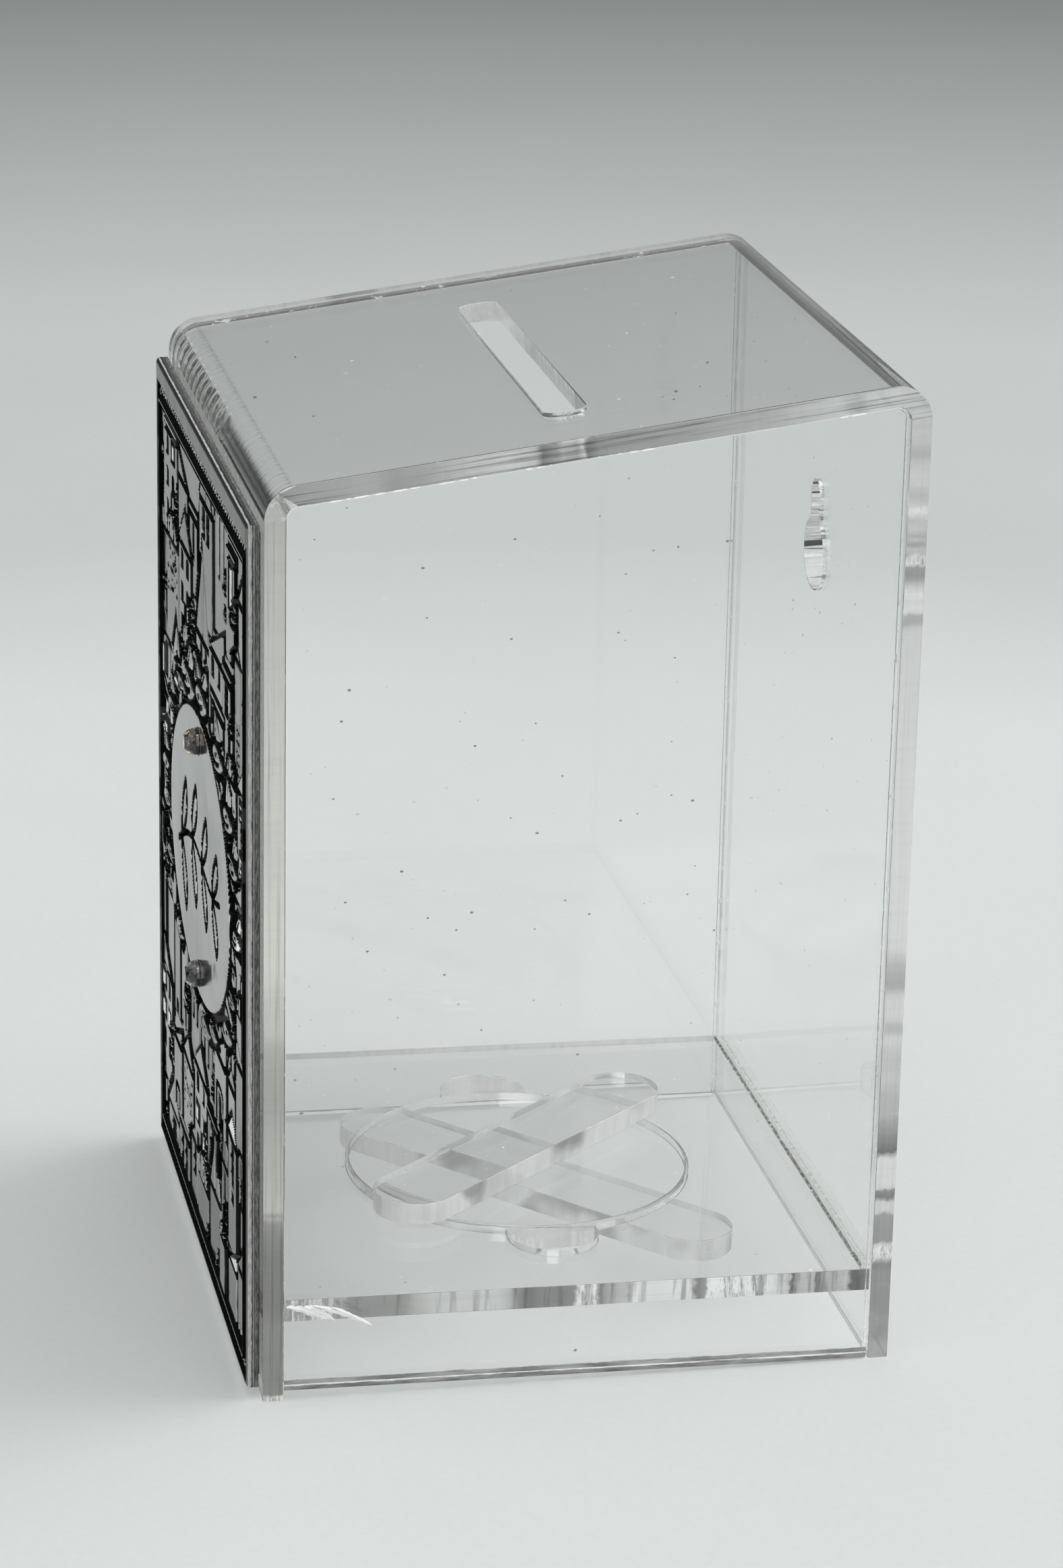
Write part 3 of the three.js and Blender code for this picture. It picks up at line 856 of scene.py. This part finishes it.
class Townscape(Relief):
    """A relief of a made-up hill town: houses, towers and domes, laid from the far ones to the near ones."""

    def __init__(self, low, high, height, draw):
        super().__init__(low, high, height)
        self.draw = draw

    def glaze(self, area, wide, tall, gap_x, gap_z, arched=False):
        """Rows of windows that fill an area: dark ones, and a few raised ones painted white as highlights."""
        left, bottom, right, top = area
        columns = max(1, int((right - left + gap_x) / (wide + gap_x)))
        rows = max(1, int((top - bottom + gap_z) / (tall + gap_z)))
        start = (left + right - columns * wide - (columns - 1) * gap_x) / 2
        for row in range(rows):
            for column in range(columns):
                x0 = start + column * (wide + gap_x)
                z0 = top - tall - row * (tall + gap_z)
                part, x, z, edge = self.panel((x0, z0, x0 + wide, z0 + tall))
                # A few windows become raised faces painted white: painted highlights.
                if self.draw.random() < 0.14:
                    edge = box_distance(x, z, (x0 - 0.4, z0 - 0.3, x0 + wide + 0.4, z0 + tall + 0.3))
                    self.lay(part, edge, FIELD + 0.3, PAINTED_HIGHLIGHT)
                elif arched:
                    self.cut(part, arch_distance(x, z, x0 + wide / 2, z0, wide / 2, tall))
                else:
                    self.cut(part, edge)

    def portal(self, area):
        """A tall arch of stone round a dark door."""
        left, bottom, right, top = area
        centre = (left + right) / 2
        half = min(1.9, (right - left) / 2 - 0.2)
        height = min(top - bottom, half * 5.5)
        part, x, z = self.window((centre - half, bottom), (centre + half, bottom + height))
        face = self.height[part].max()
        self.cut(part, arch_distance(x, z, centre, bottom, half, height))
        ring = arch_distance(x, z, centre, bottom - 1, half - 0.35, height + 0.4)
        self.fill(part, ring, face)
        self.cut(part, arch_distance(x, z, centre, bottom, half - 0.8, height - 1.6))

    def hatching(self, area, slant):
        """Fine parallel lines, such as planks or tiles."""
        part, x, z, edge = self.panel(area)
        line = stripes((x + slant * z) / math.hypot(1, slant), PLANK) - 0.16
        self.cut(part, np.maximum(line, edge), RECESS + 0.12)

    def courses(self, area):
        """Courses of stone, laid in bond."""
        part, x, z, edge = self.panel(area)
        upright = stripes(x, COURSE * 1.1, np.floor(z / COURSE) * 0.5)
        joint = np.minimum(stripes(z, COURSE), upright) - 0.14
        self.cut(part, np.maximum(joint, edge), RECESS + 0.15)

    def pebbles(self, area):
        """A plaster of small round dints."""
        left, bottom, right, top = area
        for _ in range(int((right - left) * (top - bottom) * 1.1)):
            spot = (self.draw.uniform(left, right), self.draw.uniform(bottom, top))
            part, x, z = self.window(spot)
            distance = np.hypot(x - spot[0], z - spot[1])
            self.cut(part, distance - self.draw.uniform(0.1, 0.26), RECESS + 0.2)

    def facade(self, left, bottom, right, top):
        """One pattern of windows or stone over a wall; many walls stay plain."""
        left, right, bottom, top = left + 0.9, right - 0.9, bottom + 0.8, top - 1.0
        tall = top - bottom
        if right - left < 0.8 or tall < 2:
            return
        kind = self.draw.choice(FACADES)
        middle = bottom + tall * self.draw.uniform(0.35, 0.6)
        whole = (left, bottom, right, top)
        lower, upper = (left, bottom, right, middle), (left, middle, right, top)
        if kind == "panes":
            self.glaze(upper, 1.2, 2.1, 0.45, 0.5)
        elif kind == "shutters":
            self.glaze(whole, 1.7, 1.2, 0.5, 0.5)
        elif kind == "slits":
            self.glaze(upper, 0.7, top - middle, 0.8, 1.0, True)
        elif kind == "small":
            self.glaze(whole, 0.9, 3.0, 1.3, 2.4, True)
        elif kind == "hatch":
            self.hatching(lower, self.draw.choice([0, 0.5, -0.5]))
        elif kind == "stone":
            self.courses(lower)
        elif kind == "door":
            self.portal(whole)
        elif self.draw.random() < 0.35:
            self.pebbles(upper)
        elif self.draw.random() < 0.6:
            self.fan(whole)

    def fan(self, area):
        """Curved steps or palm fronds: quarter rings round one lower corner."""
        foot = area[0] if self.draw.choice([-1, 1]) > 0 else area[2]
        part, x, z, edge = self.panel(area)
        spread = np.hypot((x - foot) * self.draw.uniform(1.6, 2.6), z - area[1])
        self.cut(part, np.maximum(stripes(spread, 2.4) - 0.25, edge), RECESS + 0.05)

    def slab(self, corners, top, tilt=0.0):
        """A flat convex shape, tilted a little so that it catches the light in its own way."""
        xs, zs = zip(*corners)
        part, x, z = self.window(*corners)
        rise = np.clip(tilt * (x - sum(xs) / len(xs)), -0.12, 0.12)
        small = (max(xs) - min(xs)) * (max(zs) - min(zs)) < 26
        # Some small faces are painted white: painted highlights.
        tone = PAINTED_HIGHLIGHT if small and self.draw.random() < 0.15 else self.draw.choice(TONES)
        self.lay(part, convex_distance(x, z, corners), top + rise, tone)

    def dome(self, centre, bottom, half, height, top):
        part, x, z = self.window((centre - half, bottom), (centre + half, bottom + height))
        distance = np.maximum(oval_distance(x, z, centre, bottom, half, height), bottom - z)
        self.lay(part, distance, top - 0.1 + 0.3 * round_top((x - centre) / half))
        for share in (-0.4, 0.4):
            rib = np.abs(x - centre - share * half * round_top((z - bottom) / height)) - 0.15
            self.cut(part, np.maximum(rib, distance + 0.7), RECESS + 0.15)
        mast = bottom + height
        self.cord([(centre, mast), (centre, mast + 2.2)], 0.5, top, 0.35)

    def house(self, centre, bottom, width, wall, top):
        """A wall with a roof of one kind or another."""
        left, right = centre - width / 2, centre + width / 2
        eaves = bottom + wall
        kind = self.draw.choice(ROOFS)
        tilt = self.draw.choice([0, 0, 0.03, -0.02, 0.05])
        if kind == "dome":
            self.dome(centre, eaves, width * 0.43, width / 2 * self.draw.uniform(1.8, 2.6), top)
        elif kind == "flat":
            self.slab(rectangle(left - EAVES, eaves, right + EAVES, eaves + 1.8), top)
        else:
            eave = EAVES if kind == "gable" else 0
            peak = eaves + width * self.draw.uniform(*PEAKS[kind])
            ridge = self.draw.choice([left, right]) if kind == "lean" else centre
            self.slab([(left - eave, eaves), (right + eave, eaves), (ridge, peak)], top, tilt)
        if kind == "spire":
            self.line([(centre, eaves + 0.8), (centre, mix(eaves, peak, 0.7))], 0.35)
        self.slab(rectangle(left, bottom, right, eaves), top, tilt)
        self.facade(left, bottom, right, eaves)

    def tree(self, x, bottom, height):
        """A bushy tree: a trunk under a heap of round leaves."""
        self.cord([(x, bottom), (x, bottom + height * 0.5)], 0.5, FIELD + 0.1, 0.3)
        for _ in range(int(height * 1.6)):
            up = self.draw.uniform(0.35, 1.0)
            reach = 1.5 * math.sin(math.pi * min(1.0, up * 0.9))
            spot = (x + self.draw.uniform(-reach, reach), bottom + height * up)
            self.bead(spot, self.draw.uniform(0.35, 0.65), FIELD + self.draw.uniform(0.1, 0.4))

    def build(self, left, right, bottom, top, rows):
        pitch = (top - bottom) / rows
        for row in range(rows - 1, -1, -1):
            x = left - self.draw.uniform(0, 2)
            while x < right:
                width = self.draw.uniform(3.0, 6.2)
                base = bottom + row * pitch - self.draw.uniform(2, 6)
                wall = pitch * self.draw.uniform(0.75, 1.3)
                top_height = FIELD + self.draw.choice([-0.15, 0, 0.15, 0.3])
                self.house(x + width / 2, base, width, wall, top_height)
                if self.draw.random() < 0.3:
                    self.tree(x + width, base + 1, wall * 0.6)
                x += width * self.draw.uniform(0.85, 1.05)


def leaf(relief, root, tip, width, top=FIELD + 0.3, halo=0.75):
    """A pointed leaf with a sunk midrib."""
    part, x, z = relief.window(root, tip, margin=width + 1.2)
    dx, dz = tip[0] - root[0], tip[1] - root[1]
    length = math.hypot(dx, dz)
    along = ((x - root[0]) * dx + (z - root[1]) * dz) / length**2
    across = ((x - root[0]) * dz - (z - root[1]) * dx) / length
    half = width * np.sin(np.pi * np.clip(along, 0, 1) ** 0.8)
    beyond = np.maximum(np.abs(along - 0.5) - 0.5, 0) * length
    distance = np.where(beyond > 0, np.hypot(beyond, across), np.abs(across) - half)
    relief.cut(part, distance - halo)
    crown = np.clip(1 - (across / (half + 1e-6)) ** 2, 0, 1)
    rise = RECESS + (top - RECESS) * (0.55 + 0.45 * crown)
    relief.fill(part, distance, rise)
    relief.cut(part, np.maximum(np.abs(across) - 0.1, distance + 0.35), RECESS + 0.25)


def spiral(centre, outer, inner, start, turns, steps=44):
    """Points from the outside of a spiral to its eye; turns is negative for clockwise."""
    points = []
    for step in range(steps + 1):
        share = step / steps
        radius = outer * (inner / outer) ** share
        angle = start + turns * 2 * math.pi * share
        points.append((centre[0] + radius * math.cos(angle), centre[1] + radius * math.sin(angle)))
    return points


def scrollwork(relief, draw):
    """Scrolls and leaves that stand round the oval."""
    centre_x, centre_z = OVAL_CENTRE
    for number in range(SCROLLS):
        angle = 2 * math.pi * (number + draw.uniform(-0.3, 0.3)) / SCROLLS
        size = draw.uniform(1.5, 2.5)
        x = centre_x + (OVAL_HALF[0] + 0.5 + size * 0.7) * math.cos(angle)
        z = centre_z + (OVAL_HALF[1] + 1.2 + size) * math.sin(angle)
        for turn in (angle - 0.8, angle + 0.8):
            tip = (x + size * 1.2 * math.cos(turn), z + size * 2.4 * math.sin(turn) + size)
            leaf(relief, (x, z), tip, size * 0.42)
        path = spiral((x, z), size, size * 0.2, angle + math.pi, draw.choice([-1, 1]) * 1.4)
        relief.cord(path, size * 0.55, OVAL_TOP, 0.6)


def oval_plate(relief):
    """The plain plate in the middle: a dark flaming ring, a rounded rim and a flat field with a sprig."""
    (centre_x, centre_z), (a, b) = OVAL_CENTRE, OVAL_HALF
    part, x, z = relief.window((centre_x - a, centre_z - b), (centre_x + a, centre_z + b), margin=3)
    distance = oval_distance(x, z, centre_x, centre_z, a, b)
    turn = np.arctan2((z - centre_z) / b, (x - centre_x) / a)
    flames = 0.9 + 0.8 * np.sin(9 * turn) * np.sin(4 * turn + 1)
    relief.cut(part, distance - flames)
    rim = OVAL_TOP - 0.1 * np.clip(1 + distance / 1.2, 0, 1) ** 2
    relief.fill(part, distance, rim, 0.0)
    sprig(relief)
    for node in ("upper_stud", "lower_stud"):
        centre = sum(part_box(node), Vector()) / 2 / MM
        part, x, z = relief.window((centre.x / WIDE, centre.z), margin=4)
        relief.cut(part, np.hypot(x * WIDE - centre.x, z - centre.z) - 2.1)


def sprig(relief):
    """A leafy twig engraved in thin lines across the oval."""
    centre_x, centre_z = OVAL_CENTRE
    shares = np.linspace(0, 1, 25)
    stem = [(centre_x - 8 + 16 * t, centre_z - 5 + 8 * t + 3 * math.sin(5.2 * t)) for t in shares]
    relief.line(stem, 0.5, RECESS - 0.1)
    for number in range(2, 24, 6):
        x, z = stem[number]
        reach = 11.5 - 0.16 * number
        for tip in ((x + 1.6, z - reach), (x + 1.6, z + reach)):
            for bow in (-1.1, 2.1):
                middle = ((x + tip[0]) / 2 + bow, (z + tip[1]) / 2)
                curve = [bend((x, z), middle, tip, t) for t in np.linspace(0, 1, 12)]
                relief.line(curve, 0.46, RECESS - 0.1)


def bend(a, b, c, t):
    """A point on the curve from a to c that leans towards b."""
    return tuple((1 - t) ** 2 * a[i] + 2 * t * (1 - t) * b[i] + t * t * c[i] for i in range(2))


def border_depth(x, z, low, high):
    """How far inside the frame's line a point is, counted so that the rope is BORDER wide all round, and
    whether it is on a side."""
    side = np.minimum(x - low[0], high[0] - x) * BORDER / BORDER_SIDE
    level = np.minimum(z - low[1], high[1] - z)
    return np.minimum(side, level), side < level


def rope_border(relief, low, high):
    """A twisted rope in a black band, with a light ledge and a dark line inside it, all the way round."""
    part, x, z = relief.window(low, high)
    into, on_a_side = border_depth(x, z, low, high)
    line = into - BORDER - LEDGE
    relief.cut(part, np.maximum(np.abs(line - LEDGE / 2) - LEDGE / 2, -into))
    ledge = np.maximum(np.abs(line + LEDGE / 2) - LEDGE / 2, -into)
    relief.fill(part, ledge, BORDER_TOP)
    relief.cut(part, np.abs(into - BORDER / 2) - BORDER / 2, RECESS - 0.1)
    twist = np.where(on_a_side, z / ROPE_PITCH, x / ROPE_PITCH_ACROSS) + 0.35 * (into - BORDER / 2)
    strand = np.clip(1.9 - stripes(twist, 1) * 5.4, 0, 1)
    across = np.clip((BORDER / 2 - 0.3 - np.abs(into - BORDER / 2)) / 0.4, 0, 1)
    relief.height[part] = np.maximum(relief.height[part], RECESS - 0.1 + (FIELD - RECESS) * across * strand)
    bare = across * strand > 0.9
    relief.tone[part] = np.where(bare, 0.1, relief.tone[part])
    relief.bare[part] |= bare


def frame_plain(relief, inner_low, inner_high):
    """The flat rim outside the rope, worn down along its outer edge."""
    x, z = np.meshgrid(relief.x, relief.z)
    relief.fill(slice(None), -box_distance(x, z, (*inner_low, *inner_high)), BORDER_TOP, RIM_TONE)
    whole = (relief.x[0] * WIDE, relief.z[0], relief.x[-1] * WIDE, relief.z[-1])
    edge = -box_distance(x * WIDE, z, whole)
    relief.height -= RIM_WEAR * np.clip(1 - edge / 0.5, 0, 1)


def blackening(relief):
    """How black each point is, from 0 to 1: deep places and steep walls hold the patina."""
    slope_z, slope_x = np.gradient(relief.height, CELL_UP, CELL_ACROSS)
    steep = np.clip((np.hypot(slope_x, slope_z) - 0.6) / 0.5, 0, 1)
    deep = np.clip((RECESS + 0.33 - relief.height) / 0.14, 0, 1)
    return np.where(relief.bare, 0, np.maximum(steep, deep)).astype(np.float32)


def relief_mesh(relief, back):
    """A closed mesh: the height map in front, walls round it and a flat back. Slot 1 is the oval's plain
    face, slot 2 the upper and lower walls, and slot 3 the side walls and the back."""
    rows, columns = relief.height.shape
    x, z = np.meshgrid(relief.x, relief.z)
    front = np.stack([x * WIDE, back / MM - relief.height, z], -1).reshape(-1, 3) * MM
    index = np.arange(rows * columns).reshape(rows, columns)
    quads = np.stack([index[:-1, :-1], index[:-1, 1:], index[1:, 1:], index[1:, :-1]], -1).reshape(-1, 4)
    ring = np.concatenate([index[0, :-1], index[:-1, -1], index[-1, :0:-1], index[:0:-1, 0]])
    behind = front[ring].copy()
    behind[:, 1] = back
    base = len(front) + np.arange(len(ring))
    walls = np.stack([ring, base, np.roll(base, -1), np.roll(ring, -1)], -1)
    mesh = bpy.data.meshes.new("plaque_relief_detail")
    faces = quads.tolist() + walls.tolist() + [base[::-1].tolist()]
    mesh.from_pydata(np.concatenate([front, behind]).tolist(), [], faces)
    for name, values in (("patina", blackening(relief)), ("tone", relief.tone)):
        attribute = mesh.attributes.new(name, "FLOAT", "POINT")
        attribute.data.foreach_set("value", np.concatenate([values.ravel(), np.zeros(len(ring))]))
    smooth = np.zeros(len(faces), bool)
    smooth[: len(quads)] = True
    mesh.polygons.foreach_set("use_smooth", smooth)
    in_oval = oval_distance(x, z, *OVAL_CENTRE, *OVAL_HALF)[:-1, :-1].ravel() < 0
    along = np.full(len(ring), 2)
    along[columns - 1 : columns + rows - 2] = 3
    along[2 * columns + rows - 3 :] = 3
    slots = np.concatenate([in_oval.astype(int), along, [3]])
    mesh.polygons.foreach_set("material_index", slots.astype(np.int32))
    mesh.update()
    return mesh


def silver(name, bright):
    """Silver whose recesses and walls are blackened; bright is how light its clean face is."""
    look = Look(name).set(Specular_Tint=grey(0.6))
    black = look.node("Attribute", {}, attribute_name="patina").outputs["Fac"]
    tone = look.node("Attribute", {}, attribute_name="tone").outputs["Fac"]
    worn = look.roughen(black, look.noise(260, 3, 0.6), 0.3, 0.7, 0.1)
    shades = [(0.12, bright), (0.35, bright * 0.7), (0.5, 0.03), (1.0, 0.006)]
    cloud = look.ramp(look.noise(45, 3.0, 0.6), (0.38, 0.7), (0.52, 0.95), (0.66, 1.0))
    # The brightest tone doubles the face's colour and takes its metal away: a painted highlight.
    clean = look.times(look.ramp(worn, *shades), look.range(tone, -1.0, 1.0, 2.0, 0.0), cloud)
    rough = look.ramp(worn, (0.1, 0.1), (0.4, 0.2), (0.7, 0.4), (1.0, 0.5))
    look.set(Base_Color=clean, Roughness=rough, Metallic=look.range(tone, PAINTED_HIGHLIGHT, PAINTED_HIGHLIGHT / 2, 0.0, 1.0))
    return look.bump(look.noise(70, 2.0, 0.5), 0.6 * MM, 0.5).material


def cast_edge(name, stops, stroke, metallic):
    """The side of the casting: bands from its back, at 0, to its face, at 1, with ragged limits. Its black
    bands are painted shade, and the white band along the top edge's face is a painted highlight.
    """
    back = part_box("plaque_relief")[1].y
    look = Look(name).set(Metallic=metallic, Roughness=0.32)
    share = look.range(look.axes()["Y"], back, back - (BORDER_TOP - RIM_WEAR) * MM, 0.0, 1.0)
    ragged = look.roughen(share, look.noise(900, 4.0, 0.75, stroke), 0.2, 0.8, 0.16)
    speck = look.ramp(look.noise(1700, 4.0, 0.7, stroke), (0.35, 0.55), (0.6, 1.0))
    look.set(Base_Color=look.times(look.ramp(ragged, *stops), speck))
    return look.bump(ragged, 0.2 * MM, 0.6).material


def plaque_relief():
    low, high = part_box("plaque_relief")
    left, right, bottom, top = low.x / MM, high.x / MM, low.z / MM, high.z / MM
    draw = random.Random(SEED)
    relief = Townscape((left / WIDE, bottom), (right / WIDE, top), FIELD, draw)
    inner_low = ((left + RIM_SIDE) / WIDE, bottom + RIM_SIDE)
    inner_high = ((right - RIM_SIDE) / WIDE, top - RIM_TOP)
    relief.build(inner_low[0], inner_high[0], inner_low[1], inner_high[1] - 4, 8)
    scrollwork(relief, draw)
    oval_plate(relief)
    frame_plain(relief, inner_low, inner_high)
    rope_border(relief, inner_low, inner_high)
    # The top edge: grey at the back, a band of painted shade, and a painted highlight along its face.
    top_edge_with_painted_light = [(0.1, 0.1), (0.3, 0.16), (0.36, 0.01), (0.66, 0.01), (0.72, 1.0)]
    beige, pale = (0.46, (0.5, 0.49, 0.46)), (0.95, (0.62, 0.61, 0.58))
    # The side edge: grey at the back, a line of painted shade, then beige and pale towards its face.
    side_edge = [(0.1, 0.25), (0.24, 0.3), (0.3, 0.01), (0.4, 0.02), beige, pale]
    materials = [
        silver("patinated_silver", 0.66),
        silver("polished_silver", 0.84),
        cast_edge("cast_top_edge", top_edge_with_painted_light, (0.4, 1, 1), 0.6),
        cast_edge("cast_side_edge", side_edge, (1, 2, 0.4), 0.0),
    ]
    piece = new_piece("silver_plaque", relief_mesh(relief, high.y), materials)
    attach(piece, "box")
    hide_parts("plaque_relief")


# ---------------------------------------------------------------- studs


def crystal(name, tint):
    """Cut glass whose colour is patched dark, tinted and white: its own tint with painted reflections of its
    facets.
    """
    look = Look(name).set(IOR=1.7, Transmission_Weight=1.0, Roughness=0.0)
    # Painted reflections: dark and white patches stand in for the light off the facets.
    painted_flashes = look.ramp(look.noise(600, 2.0, 0.5), (0.45, 0.01), (0.52, tint), (0.6, 1.0))
    return look.set(Base_Color=painted_flashes).material


def stud(node, name, material):
    """A round brilliant: rings of corners, one of them turned half a step, and a flat table."""
    low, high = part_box(node)
    centre = (low + high) / 2
    radius = (high.x - low.x) / 2
    mesh = bmesh.new()
    rings = []
    for reach, up, twist in STUD_RINGS:
        y = high.y - (high.y - low.y) * up
        ring = []
        for side in range(STUD_SIDES):
            angle = 2 * math.pi * (side + twist) / STUD_SIDES
            x = centre.x + radius * reach * math.cos(angle)
            ring.append(mesh.verts.new((x, y, centre.z + radius * reach * math.sin(angle))))
        rings.append(ring)
    girdle, belt, crown, table = rings
    for side in range(STUD_SIDES):
        after = (side + 1) % STUD_SIDES
        mesh.faces.new((girdle[side], girdle[after], belt[after], belt[side]))
        mesh.faces.new((belt[side], belt[after], crown[side]))
        mesh.faces.new((belt[after], crown[after], crown[side]))
        mesh.faces.new((crown[side], table[after], table[side]))
        mesh.faces.new((crown[side], crown[after], table[after]))
    mesh.faces.new(girdle[::-1])
    mesh.faces.new(table)
    piece = new_piece(name, mesh, [material])
    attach(piece, "box")
    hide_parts(node)


def studs():
    stud("upper_stud", "upper_crystal", crystal("amber_crystal", (0.55, 0.4, 0.25)))
    stud("lower_stud", "lower_crystal", crystal("smoky_crystal", (0.3, 0.3, 0.29)))


camera()
floor()
studio()
dress_acrylic()
dress_backing()
cement_marks()
plaque_relief()
studs()
